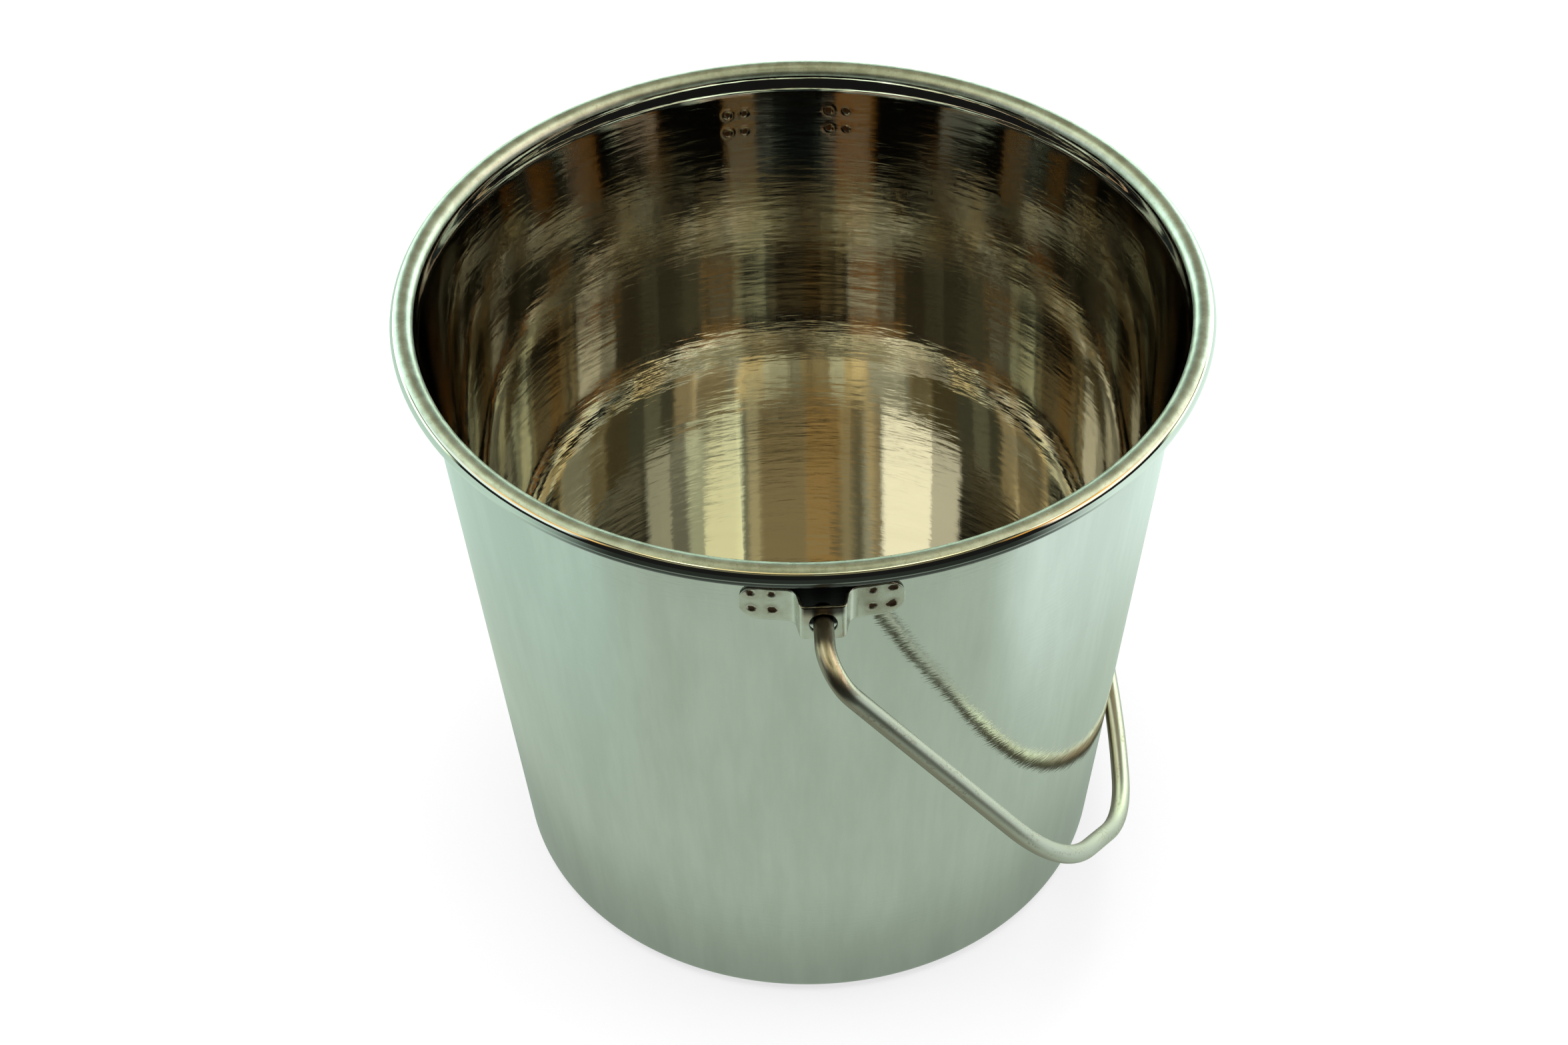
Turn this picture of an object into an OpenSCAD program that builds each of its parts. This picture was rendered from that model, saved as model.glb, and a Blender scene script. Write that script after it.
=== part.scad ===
// Stainless steel milk pail with a swinging wire bail.
// Millimetres, +Z up. The origin is the centre of the base's underside, and the pail stands on z = 0.
// The bail's pivot axis runs along Y. The bail is drawn hanging against the +X side.

/* [Pail body] */
// Height from the base's underside to the top of the rim
pail_h = 258.5; // [250:0.5:268]
// Outer diameter of the rolled rim
rim_d = 300; // [299:0.5:304]
// Outer diameter of the tapered wall, carried on to the rim's underside
wall_top_d = 280.8; // [279:0.2:281.6]
// Outer diameter of the tapered wall, carried down to the base plane
wall_base_d = 232.2; // [229:0.2:235]
// Thickness of the drawn sheet
sheet_t = 0.8; // [0.6:0.1:1]
// Outer radius of the corner between wall and base
corner_r = 7; // [5:0.5:10]
// Diameter of the rolled rim's section
roll_d = 8.6; // [8.4:0.1:9]
// Height of the small flare between the wall and the rolled rim
neck_h = 4; // [3:0.5:5]

/* [Ears] */
// Height of each ear's middle above the base
ear_z = 235; // [232:0.5:237]
// Width of each ear's strip, measured up the wall
ear_h = 16; // [14:0.5:18]
// Length of each ear from wing tip to wing tip
ear_l = 56; // [52:1:60]
// Thickness of the ear's strip
ear_t = 1.2; // [1:0.1:1.4]
// Distance from the wall to the outside of the raised face
ear_depth = 9.2; // [8.6:0.1:10]
// Width of the flat part of the raised face
face_flat = 11.8; // [11:0.2:12.4]
// Lean of the raised part's sides
side_lean = 12; // [6:1:20]
// Radius inside the bends beside the face
bend_in_r = 1; // [0.6:0.1:1.4]
// Radius of the hollow where each side sweeps out into its wing
foot_in_r = 4; // [3:0.5:5]
// Radius of the wings' outer corners
wing_corner_r = 7; // [4:0.5:7.5]
// Diameter of the hole that the bail turns in
ear_hole_d = 9.6; // [8.4:0.2:10]

/* [Spot welds] */
// Diameter of a weld nugget
weld_d = 3; // [2:0.2:4]
// Distance from the ear's middle to the middle of a group of four
weld_group_x = 20.4; // [19:0.2:21.4]
// Spacing of the four welds along the ear
weld_pitch_x = 6.9; // [5:0.1:7.5]
// Spacing of the four welds up the wall
weld_pitch_z = 8; // [6:0.2:9]
// Height of the groups above the ear's middle
weld_rise = 1.4; // [0:0.1:1.6]
// Depth of the electrode's dent over each nugget
weld_dent = 0.12; // [0.05:0.01:0.2]

/* [Bail] */
// Diameter of the bail's rod
rod_d = 7; // [6:0.1:7.4]
// Height of the pivot axis above the base
pivot_z = 233.8; // [233:0.1:235]
// Distance from the pail's middle to each end of the rod
rod_end_y = 141.2; // [140.8:0.1:143]
// Distance from the pail's middle to the straight start of each leg
leg_y = 170.5; // [167:0.5:173]
// Centreline radius of the bend beside each ear
ear_bend_r = 12.5; // [10:0.5:15]
// Angle that each leg leans towards the middle
leg_lean = 9.2; // [8.6:0.1:9.6]
// Centreline radius of the bend where the lean starts
lean_bend_r = 25; // [15:1:35]
// Length of the straight leg below that bend
leg_run = 104.5; // [100:0.5:106]
// Centreline radius of the shoulder bend
shoulder_r = 105; // [95:1:112]
// Length of the straight stretch between shoulder and crown bends
shoulder_run = 28; // [22:0.5:32]
// Centreline radius of the crown bend
crown_r = 85; // [78:1:90]
// Direction of the rod at the end of the shoulder, from the hanging direction
shoulder_dir = 48; // [44:1:52]
// Direction of the rod at the end of the crown bend
crown_dir = 80.6; // [79:0.1:82]
// Angle of the hanging bail below the horizontal
hang_angle = 56.4; // [50:0.1:56.4]

/* [Hidden] */
$fn = 96;
lathe_fn = 240;

// Wall: a cone whose outer radius grows evenly with height
rim_under_z = pail_h - roll_d;
wall_k = (wall_top_d - wall_base_d) / 2 / rim_under_z;
wall_tilt = atan(wall_k);
sheet_w = sheet_t / cos(wall_tilt);
function wall_r(z) = wall_base_d / 2 + wall_k * z;

// Corner between wall and base, whose centre is one radius from both
corner_c = [wall_r(corner_r) - corner_r / cos(wall_tilt), corner_r];

// Rolled rim: the sheet turns outward and ends one gap short of the wall
roll_c = [(rim_d - roll_d) / 2, pail_h - roll_d / 2];
roll_open_from = 180;
roll_open_to = 216;
neck_z = roll_c[1] - neck_h;

// Ear: top and foot bends of one side of the raised part
bend_out_r = bend_in_r + ear_t;
foot_out_r = foot_in_r + ear_t;
side_dir = [cos(side_lean), sin(side_lean)];
top_c = [face_flat / 2, ear_depth - bend_out_r];
// The foot sits lower than the ear's middle by the wall's curve and a little more, which the wall trims
foot_bite = 0.06;
foot_reach = face_flat / 2 + bend_out_r + foot_in_r;
foot_sag = pow(foot_reach, 2) / wall_r(ear_z) / 2 + foot_bite;
foot_c = let (v = foot_out_r - foot_sag, drop = top_c[1] - v + (bend_out_r + foot_in_r) * side_dir[1])
    [top_c[0] + (bend_out_r + foot_in_r) * side_dir[0] + drop * tan(side_lean), v];
foot_overlap = 0.6;
bend_steps = 8;
wing_from = asin(foot_c[0] / wall_r(ear_z));
wing_to = 1.2 * ear_l / 2 / wall_r(ear_z) * 180 / PI;

// Bail: what is left from the crown bends to the middle is one gentle arch, the grip
lean_step = lean_bend_r * (1 - cos(leg_lean));
leg_step = leg_run * sin(leg_lean);
shoulder_step = shoulder_r * (cos(leg_lean) - cos(shoulder_dir));
run_step = shoulder_run * sin(shoulder_dir);
crown_step = crown_r * (cos(shoulder_dir) - cos(crown_dir));
grip_half = leg_y - lean_step - leg_step - shoulder_step - run_step - crown_step;
grip_r = grip_half / cos(crown_dir);

// Distance from the pivot axis to the middle of the grip
lean_drop = ear_bend_r + lean_bend_r * sin(leg_lean) + leg_run * cos(leg_lean);
shoulder_drop = shoulder_r * (sin(shoulder_dir) - sin(leg_lean)) + shoulder_run * cos(shoulder_dir);
crown_drop = crown_r * (sin(crown_dir) - sin(shoulder_dir)) + grip_r * (1 - sin(crown_dir));
bail_l = lean_drop + shoulder_drop + crown_drop;

// Every second stretch of the rod is a hair thinner and runs on into its neighbours
rod_fine = 0.02;
rod_enter = 0.3;

// --- shared shapes -------------------------------------------------------------------------

// Part of a flat ring between two angles less than 180 degrees apart
module arc_band(r_in, r_out, from, to) {
    far = 3 * r_out;
    mid = (from + to) / 2;
    intersection() {
        difference() {
            circle(r_out);
            circle(r_in);
        }
        polygon([[0, 0], far * [cos(from), sin(from)], far * [cos(mid), sin(mid)], far * [cos(to), sin(to)]]);
    }
}

// Solid cone inside the wall's outer face, between two heights
module wall_core(z0, z1) {
    translate([0, 0, z0])
        cylinder(h = z1 - z0, r1 = wall_r(z0), r2 = wall_r(z1), $fn = lathe_fn);
}

// Stands a child on the wall's outer face at the front, square to the wall
module on_wall(x, z) {
    rotate([0, 0, asin(x / wall_r(z))])
        translate([0, -wall_r(z), z])
            rotate([wall_tilt, 0, 0])
                children();
}

// One pin through wall and wing at each spot weld
module weld_pins() {
    for (side = [-1, 1], col = [-1, 1], row = [-1, 1])
        on_wall(side * weld_group_x + col * weld_pitch_x / 2, ear_z + weld_rise + row * weld_pitch_z / 2)
            rotate([90, 0, 0])
                cylinder(h = 8, d = weld_d, center = true, $fn = 32);
}

// --- pail body -----------------------------------------------------------------------------

module wall_profile() {
    base_edge = corner_c[0];
    tangent = [cos(wall_tilt), -sin(wall_tilt)];
    corner_out = corner_c + corner_r * tangent;
    corner_in = corner_c + (corner_r - sheet_t) * tangent;
    // Flat base
    square([base_edge, sheet_t]);
    // Corner
    translate(corner_c)
        arc_band(corner_r - sheet_t, corner_r, -90, -wall_tilt);
    // Tapered wall
    polygon([corner_in, corner_out, [wall_r(neck_z), neck_z], [wall_r(neck_z) - sheet_w, neck_z]]);
}

module rim_profile() {
    roll_in = roll_c[0] - roll_d / 2;
    // Neck flaring out to the roll
    polygon([
        [wall_r(neck_z) - sheet_w, neck_z],
        [wall_r(neck_z), neck_z],
        [roll_in + sheet_t, roll_c[1]],
        [roll_in, roll_c[1]]
    ]);
    // Roll
    translate(roll_c) {
        arc_band(roll_d / 2 - sheet_t, roll_d / 2, 0, 90);
        arc_band(roll_d / 2 - sheet_t, roll_d / 2, 90, roll_open_from);
        arc_band(roll_d / 2 - sheet_t, roll_d / 2, roll_open_to, 290);
        arc_band(roll_d / 2 - sheet_t, roll_d / 2, 290, 360);
    }
}

module pail_body() {
    color([0.74, 0.81, 0.75])
        difference() {
            rotate_extrude($fn = lathe_fn) {
                wall_profile();
                rim_profile();
            }
            weld_pins();
            rotate([0, 0, 180])
                weld_pins();
        }
}

// --- ears ----------------------------------------------------------------------------------

// Points along an arc
function arc(c, r, from, to) =
    [for (i = [0:bend_steps]) let (a = from + (to - from) * i / bend_steps) c + r * [cos(a), sin(a)]];

// Section of the raised part: x along the ear, y outward from the wall
module hat_section() {
    tip = foot_c[0] + foot_overlap;
    right = concat(
        arc(top_c, bend_out_r, 90, side_lean),
        arc(foot_c, foot_in_r, 180 + side_lean, 270),
        [[tip, foot_c[1] - foot_in_r], [tip, foot_c[1] - foot_out_r]],
        arc(foot_c, foot_out_r, 270, 180 + side_lean),
        arc(top_c, bend_in_r, side_lean, 90)
    );
    last = len(right) - 1;
    left = [for (i = [last:-1:0]) [-right[i][0], right[i][1]]];
    polygon(concat(right, left));
}

// Wing on one side, curved to the wall and starting inside it
module wing() {
    z0 = ear_z - ear_h;
    z1 = ear_z + ear_h;
    out = ear_t / cos(wall_tilt);
    rotate([0, 0, wing_from - 90])
        rotate_extrude(angle = wing_to - wing_from, $fn = lathe_fn)
            polygon([
                [wall_r(z0) - out, z0],
                [wall_r(z0) + out, z0],
                [wall_r(z1) + out, z1],
                [wall_r(z1) - out, z1]
            ]);
}

// Outline of the ear seen square on, with rounded wing corners
module ear_outline() {
    rotate([90 + wall_tilt, 0, 0])
        linear_extrude(height = 40, center = true) {
            square([ear_l - 2 * wing_corner_r, ear_h], center = true);
            square([ear_l, ear_h - 2 * wing_corner_r], center = true);
            for (x = [-1, 1], y = [-1, 1])
                translate([x * (ear_l / 2 - wing_corner_r), y * (ear_h / 2 - wing_corner_r)])
                    circle(wing_corner_r);
        }
}

module ear() {
    difference() {
        union() {
            intersection() {
                union() {
                    wing();
                    mirror([1, 0, 0])
                        wing();
                }
                translate([0, -wall_r(ear_z), ear_z])
                    ear_outline();
            }
            on_wall(0, ear_z)
                linear_extrude(height = ear_h, center = true)
                    mirror([0, 1, 0])
                        hat_section();
        }
        wall_core(ear_z - 2 * ear_h, pail_h);
        translate([0, -wall_r(pivot_z), pivot_z])
            rotate([90, 0, 0])
                cylinder(h = 2 * ear_depth, d = ear_hole_d);
        weld_pins();
    }
}

module front_ear() {
    color([0.76, 0.79, 0.73])
        ear();
}

module rear_ear() {
    color([0.76, 0.79, 0.73])
        rotate([0, 0, 180])
            ear();
}

// --- spot welds ----------------------------------------------------------------------------

// Nuggets that join wing and wall, dented on both faces
module spot_welds() {
    z0 = ear_z - ear_h;
    z1 = ear_z + ear_h;
    inside = -sheet_w + weld_dent;
    outside = ear_t / cos(wall_tilt) - weld_dent;
    intersection() {
        weld_pins();
        rotate_extrude($fn = lathe_fn)
            polygon([
                [wall_r(z0) + inside, z0],
                [wall_r(z0) + outside, z0],
                [wall_r(z1) + outside, z1],
                [wall_r(z1) + inside, z1]
            ]);
    }
}

module front_spot_welds() {
    color([0.36, 0.25, 0.17])
        spot_welds();
}

module rear_spot_welds() {
    color([0.36, 0.25, 0.17])
        rotate([0, 0, 180])
            spot_welds();
}

// --- bail ----------------------------------------------------------------------------------

// Straight rod along +Z, with what follows placed at its end
module run(length, thin = false) {
    more = thin ? rod_enter : 0;
    translate([0, 0, -more])
        cylinder(h = length + 2 * more, d = rod_d - (thin ? 2 * rod_fine : 0));
    translate([0, 0, length])
        children();
}

// Rod bent from +Z towards +X, with what follows placed at its end
module turn(r, angle, thin = false) {
    more = thin ? rod_enter / r * 180 / PI : 0;
    translate([r, 0, 0])
        rotate([90, 0, 180])
            rotate([0, 0, -more])
                rotate_extrude(angle = angle + 2 * more)
                    translate([r, 0])
                        circle(d = rod_d - (thin ? 2 * rod_fine : 0));
    translate([r * (1 - cos(angle)), 0, r * sin(angle)])
        rotate([0, angle, 0])
            children();
}

// Half of the bail, from the end inside the ear to the end of the crown bend
module bail_half() {
    translate([0, 0, -rod_end_y])
        mirror([0, 0, 1])
            run(leg_y - ear_bend_r - rod_end_y)
            turn(ear_bend_r, 90, thin = true)
            turn(lean_bend_r, leg_lean)
            run(leg_run, thin = true)
            turn(shoulder_r, shoulder_dir - leg_lean)
            run(shoulder_run, thin = true)
            turn(crown_r, crown_dir - shoulder_dir);
}

// Gentle arch across the middle
module grip() {
    half_turn = 90 - crown_dir;
    translate([bail_l - grip_r * (1 - cos(half_turn)), 0, -grip_half])
        rotate([0, half_turn, 0])
            mirror([1, 0, 0])
                turn(grip_r, 2 * half_turn, thin = true);
}

// Both halves and the grip, with the hanging direction along X and the pivot axis along Z
module bail() {
    color([0.74, 0.72, 0.66])
        translate([0, 0, pivot_z])
            rotate([0, hang_angle, 0])
                rotate([-90, 0, 0]) {
                    bail_half();
                    mirror([0, 0, 1])
                        bail_half();
                    grip();
                }
}

pail_body();
front_ear();
rear_ear();
front_spot_welds();
rear_spot_welds();
bail();
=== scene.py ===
import math

import bpy
from mathutils import Matrix, Vector


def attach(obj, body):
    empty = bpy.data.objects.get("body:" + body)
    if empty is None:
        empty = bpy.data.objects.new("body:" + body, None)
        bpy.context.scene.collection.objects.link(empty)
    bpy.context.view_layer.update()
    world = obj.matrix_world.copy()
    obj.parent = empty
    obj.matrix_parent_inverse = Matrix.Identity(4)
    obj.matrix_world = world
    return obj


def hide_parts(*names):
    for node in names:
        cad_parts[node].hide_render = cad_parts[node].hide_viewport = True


# Looks for the milk pail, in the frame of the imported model. Blender works in metres; the shape numbers
# below are millimetres.
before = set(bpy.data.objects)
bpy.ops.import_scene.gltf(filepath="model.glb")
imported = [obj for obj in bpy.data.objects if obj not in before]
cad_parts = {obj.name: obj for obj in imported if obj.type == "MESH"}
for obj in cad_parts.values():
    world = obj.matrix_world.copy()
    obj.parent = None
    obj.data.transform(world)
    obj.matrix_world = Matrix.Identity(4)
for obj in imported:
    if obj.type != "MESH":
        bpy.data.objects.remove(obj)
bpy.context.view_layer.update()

MM = 0.001

# ---------------------------------------------------------------------------------------------
# Sizes in millimetres and degrees, as in the CAD but for the inside corner
# ---------------------------------------------------------------------------------------------
PAIL_H, RIM_D, SHEET = 258.5, 300.0, 0.8
ROLL_R = 4.3
# Outer radius of the wall at the base and under the roll, and its slope
WALL_BASE_R, WALL_TOP_R = 116.1, 140.4
RIM_UNDER_Z = PAIL_H - 2 * ROLL_R
WALL_K = (WALL_TOP_R - WALL_BASE_R) / RIM_UNDER_Z
TILT = math.atan(WALL_K)
# Corner between wall and base, outside and inside
CORNER_R = 7.0
INSIDE_CORNER_R = 12.0
# Middle of the roll, and the height where the outer wall ends
ROLL_X, ROLL_Z = RIM_D / 2 - ROLL_R, PAIL_H - ROLL_R
NECK_Z = ROLL_Z - 4.0

# Ear: height of its middle; height, length and thickness of the strip; depth, flat width and lean of
# the raised part; radii of the bends and the wings' corners; diameter of the hole
EAR_Z, EAR_H, EAR_L, EAR_T = 235.0, 16.0, 56.0, 1.2
EAR_DEPTH, FACE_FLAT, SIDE_LEAN = 9.2, 11.8, math.radians(12)
BEND_R, FOOT_R, WING_CORNER_R, HOLE_D = 1.0, 4.0, 7.0, 9.6
# Spot welds: each wing has four round a middle, this far to the side and above the ear's middle
WELD_X, WELD_RISE = 20.4, 1.4
WELD_DX, WELD_DZ = 6.9, 8.0

# Bail: rod radius, pivot height, the rod's ends and its legs, then its bends from an ear to the crown
ROD_R, PIVOT_Z, ROD_END_Y, LEG_Y = 3.5, 233.8, 141.2, 170.5
EAR_BEND_R, LEG_LEAN, LEAN_BEND_R, LEG_RUN = 12.5, 9.2, 25.0, 104.5
SHOULDER_R, SHOULDER_RUN, CROWN_R = 105.0, 28.0, 85.0
SHOULDER_DIR, CROWN_DIR = 48.0, 80.6
# Degrees below level at which it hangs at rest
HANG = 56.4

# ---------------------------------------------------------------------------------------------
# Sizes of the visual meshes alone
# ---------------------------------------------------------------------------------------------
TINY = 1e-6
# Inner wall: finer rows behind the welds, then the start of the lip
WELDS_LOW_Z, WELDS_HIGH_Z, LIP_Z = 226, 246, 249
# Angles on the roll where it starts, where its ground band ends and where the sheet turns in
ROLL_START, GROUND_END, ROLL_END = 168, 52, -144
# The drawn wall is never quite true: size, waves round the pail, phase and twist of each error, and
# the heights over which they start and end
WALL_WAVES = ((0.035, 3, 0.8, 0.011), (0.018, 7, -1.9, -0.02))
WAVES_START, WAVES_END = (30, 70), (215, 240)
# Strength in mm of the noise that makes the heat marks ragged
WELD_RAGGED = 4.2
# Rod: sides, and depth and distance in (as a part of the radius) of the groove in each end face
ROD_SIDES, GROOVE_DEPTH, GROOVE_INSET = 40, 0.7, 0.2
# Ear: rows up the strip, steps along a wing, softness of the edges, half width of the raised part
EAR_ROWS, WING_STEPS, EDGE_SOFT, RAISED_HALF = 40, 44, 0.16, 11
# Half height of the patch round the hole, and the rings of faces in it
PATCH_HALF, HOLE_RINGS = 6.9, 7


def wall_r(z):
    return WALL_BASE_R + WALL_K * z


def inner_r(z):
    return wall_r(z) - SHEET / math.cos(TILT)


def smooth(a, b, x):
    """0 at a and 1 at b, with a gentle start and end."""
    t = min(1.0, max(0.0, (x - a) / (b - a)))
    return t * t * (3 - 2 * t)


# ---------------------------------------------------------------------------------------------
# Mesh helpers
# ---------------------------------------------------------------------------------------------
def mesh_object(name, verts, faces, mats, face_mat=None, coords=None):
    """A mesh in millimetres made into an object, with an optional vector attribute for its materials."""
    me = bpy.data.meshes.new(name)
    me.from_pydata([(x * MM, y * MM, z * MM) for x, y, z in verts], [], faces)
    for m in mats:
        me.materials.append(m)
    if face_mat:
        me.polygons.foreach_set("material_index", face_mat)
    me.polygons.foreach_set("use_smooth", [True] * len(me.polygons))
    if coords:
        for key, values in coords.items():
            at = me.attributes.new(key, "FLOAT_VECTOR", "POINT")
            at.data.foreach_set("vector", [c for v in values for c in v])
    me.validate()
    me.update()
    o = bpy.data.objects.new(name, me)
    bpy.context.scene.collection.objects.link(o)
    return o


def arc_points(cx, cz, r, a0, a1, n, first=True):
    """Points on an arc in the (radius, height) plane, angles in degrees."""
    out = []
    for i in range(0 if first else 1, n + 1):
        a = math.radians(a0 + (a1 - a0) * i / n)
        out.append((cx + r * math.cos(a), cz + r * math.sin(a)))
    return out


def line_points(p, q, n):
    """n points on the way from p to q, without p itself."""
    return [(p[0] + (q[0] - p[0]) * i / n, p[1] + (q[1] - p[1]) * i / n) for i in range(1, n + 1)]


def bezier(p0, p1, p2, p3, n):
    """n points on a cubic curve, without its first."""
    out = []
    for i in range(1, n + 1):
        t = i / n
        u = 1 - t
        k0, k1, k2, k3 = u**3, 3 * u * u * t, 3 * u * t * t, t**3
        out.append(tuple(k0 * a + k1 * b + k2 * c + k3 * d for a, b, c, d in zip(p0, p1, p2, p3)))
    return out


# ---------------------------------------------------------------------------------------------
# Node helpers
# ---------------------------------------------------------------------------------------------
class Nodes:
    """Short forms for building a node tree. A value is a socket or a constant."""

    def __init__(self, tree):
        self.tree = tree
        tree.nodes.clear()

    def new(self, kind, **props):
        n = self.tree.nodes.new(kind)
        for k, v in props.items():
            setattr(n, k, v)
        return n

    def put(self, socket, value):
        if isinstance(value, bpy.types.NodeSocket):
            self.tree.links.new(value, socket)
        elif value is not None:
            socket.default_value = value

    def math(self, op, a, b=None, c=None):
        n = self.new("ShaderNodeMath", operation=op)
        for s, v in zip(n.inputs, (a, b, c)):
            self.put(s, v)
        return n.outputs[0]

    def times(self, first, *rest):
        for value in rest:
            first = self.math("MULTIPLY", first, value)
        return first

    def vec(self, op, a, b):
        n = self.new("ShaderNodeVectorMath", operation=op)
        self.put(n.inputs[0], a)
        self.put(n.inputs[3] if op == "SCALE" else n.inputs[1], b)
        return n.outputs[0]

    def range(self, value, a, b, c=0.0, d=1.0):
        """Runs smoothly from c to d as the value goes from a to b."""
        n = self.new("ShaderNodeMapRange", interpolation_type="SMOOTHSTEP")
        for s, v in zip(n.inputs, (value, a, b, c, d)):
            self.put(s, v)
        return n.outputs[0]

    def noise(self, vector, scale, detail=2.0, rough=0.5):
        n = self.new("ShaderNodeTexNoise")
        self.put(n.inputs["Vector"], vector)
        for k, v in (("Scale", scale), ("Detail", detail), ("Roughness", rough)):
            self.put(n.inputs[k], v)
        return n.outputs["Fac"]

    def mix(self, fac, a, b):
        n = self.new("ShaderNodeMix", data_type="RGBA")
        self.put(n.inputs[0], fac)
        self.put(n.inputs[6], a)
        self.put(n.inputs[7], b)
        return n.outputs[2]

    def mixf(self, fac, a, b):
        n = self.new("ShaderNodeMix", data_type="FLOAT")
        self.put(n.inputs[0], fac)
        self.put(n.inputs[2], a)
        self.put(n.inputs[3], b)
        return n.outputs[0]

    def place(self):
        """The point on the object, in metres."""
        return self.new("ShaderNodeTexCoord").outputs["Object"]

    def attribute(self, name):
        return self.new("ShaderNodeAttribute", attribute_name=name).outputs["Vector"]

    def xyz(self, vector):
        n = self.new("ShaderNodeSeparateXYZ")
        self.put(n.inputs[0], vector)
        return n.outputs

    def join(self, x, y, z):
        n = self.new("ShaderNodeCombineXYZ")
        for s, v in zip(n.inputs, (x, y, z)):
            self.put(s, v)
        return n.outputs[0]

    def bump(self, height, distance, strength, normal=None):
        n = self.new("ShaderNodeBump")
        self.put(n.inputs["Height"], height)
        n.inputs["Distance"].default_value = distance
        n.inputs["Strength"].default_value = strength
        self.put(n.inputs["Normal"], normal)
        return n.outputs[0]

    def surface(self, shader):
        self.put(self.new("ShaderNodeOutputMaterial").inputs["Surface"], shader.outputs[0])


def material(name):
    m = bpy.data.materials.new(name)
    m.use_nodes = True
    return m, Nodes(m.node_tree)


def finish_metal(n, colour, rough, normal):
    b = n.new("ShaderNodeBsdfPrincipled")
    n.put(b.inputs["Base Color"], colour)
    n.put(b.inputs["Roughness"], rough)
    n.put(b.inputs["Metallic"], 1.0)
    n.put(b.inputs["Normal"], normal)
    n.surface(b)


def rgb(r, g, b):
    return (r, g, b, 1.0)


# ---------------------------------------------------------------------------------------------
# Materials. The shell carries "lathe" = (cos, sin, path length in mm); places are in metres.
# ---------------------------------------------------------------------------------------------
def lathe_noise(n, around, along, detail=2.0, rough=0.5):
    """Noise on the lathe coordinate: around and along are features per turn radius and per mm."""
    v = n.vec("MULTIPLY", n.attribute("lathe"), (around, around, along))
    return n.noise(v, 1.0, detail, rough)


def in_mm(n, c):
    """A place in metres as x, y and z in mm, and its distance from the Z axis in mm."""
    s = n.xyz(n.vec("MULTIPLY", c, (1000, 1000, 1000)))
    r = n.math("SQRT", n.math("ADD", n.times(s[0], s[0]), n.times(s[1], s[1])))
    return s, r


def weld_field(n, c):
    """Distance in mm from the nearest spot weld, shifted by a noise that gives ragged edges."""
    s, r = in_mm(n, c)
    u = n.times(n.math("ARCSINE", n.math("DIVIDE", s[0], r)), r)
    ragged = n.noise(c, 330.0, 3.0, 0.6)

    def away(value, middle, half):
        return n.math("SUBTRACT", n.math("ABSOLUTE", n.math("SUBTRACT", value, middle)), half)

    du = away(n.math("ABSOLUTE", u), WELD_X, WELD_DX / 2)
    dz = away(s[2], EAR_Z + WELD_RISE, WELD_DZ / 2)
    d = n.math("SQRT", n.math("ADD", n.times(du, du), n.times(dz, dz)))
    return n.math("ADD", d, n.times(n.math("SUBTRACT", ragged, 0.5), WELD_RAGGED))


def outside_steel():
    """Polished outer wall, with painted shade round each ear."""
    m, n = material("polished_outside")
    c = n.place()
    s = n.xyz(c)
    ax, z = n.math("ABSOLUTE", s[0]), s[2]
    cloud = lathe_noise(n, 7.0, 0.012, 4.0, 0.6)
    streak = lathe_noise(n, 34.0, 0.02, 3.0, 0.6)
    lines = lathe_noise(n, 14.0, 0.9, 2.0, 0.6)
    wave = lathe_noise(n, 5.0, 0.02, 1.0)
    grain = n.noise(c, 900.0, 3.0, 0.6)
    tone = n.mix(n.range(cloud, 0.35, 0.65), rgb(0.595, 0.60, 0.565), rgb(0.655, 0.66, 0.625))
    tone = n.mix(n.times(n.range(streak, 0.4, 0.75), 0.25), tone, rgb(0.56, 0.56, 0.53))
    rough = n.math("ADD", n.times(cloud, 0.05), n.times(grain, 0.03))
    rough = n.math("ADD", rough, 0.03)
    # Painted shade behind the raised part of the ear, and narrower just below it
    half_width = n.range(z, 0.2255, 0.2285, 0.0070, 0.0106)
    behind = n.range(n.math("SUBTRACT", half_width, ax), -0.0006, 0.0006)
    behind = n.times(behind, n.range(z, 0.2228, 0.2243))
    # Painted shade between the ear's top edge and the rim
    crevice = n.times(n.range(ax, 0.033, 0.027), n.range(z, 0.2424, 0.2433))
    # A thin broken painted contact shadow under the wings
    below = n.times(n.range(z, 0.2262, 0.2267), n.range(z, 0.2278, 0.2273))
    below = n.times(below, n.range(ax, 0.011, 0.013), n.range(ax, 0.024, 0.020))
    below = n.times(below, n.range(n.noise(c, 300.0, 2.0), 0.42, 0.55))
    # Painted shade: the wall is made near black behind the ear's raised part, above the ear and under the
    # wings
    painted_shade = n.math("MAXIMUM", behind, n.math("MAXIMUM", crevice, below))
    tone = n.mix(painted_shade, tone, rgb(0.012, 0.012, 0.012))
    rough = n.mixf(painted_shade, rough, 0.5)
    nrm = n.bump(wave, 0.0005, 1.0)
    nrm = n.bump(lines, 0.00004, 1.0, nrm)
    nrm = n.bump(grain, 0.00001, 0.5, nrm)
    finish_metal(n, tone, rough, nrm)
    return m


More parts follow.
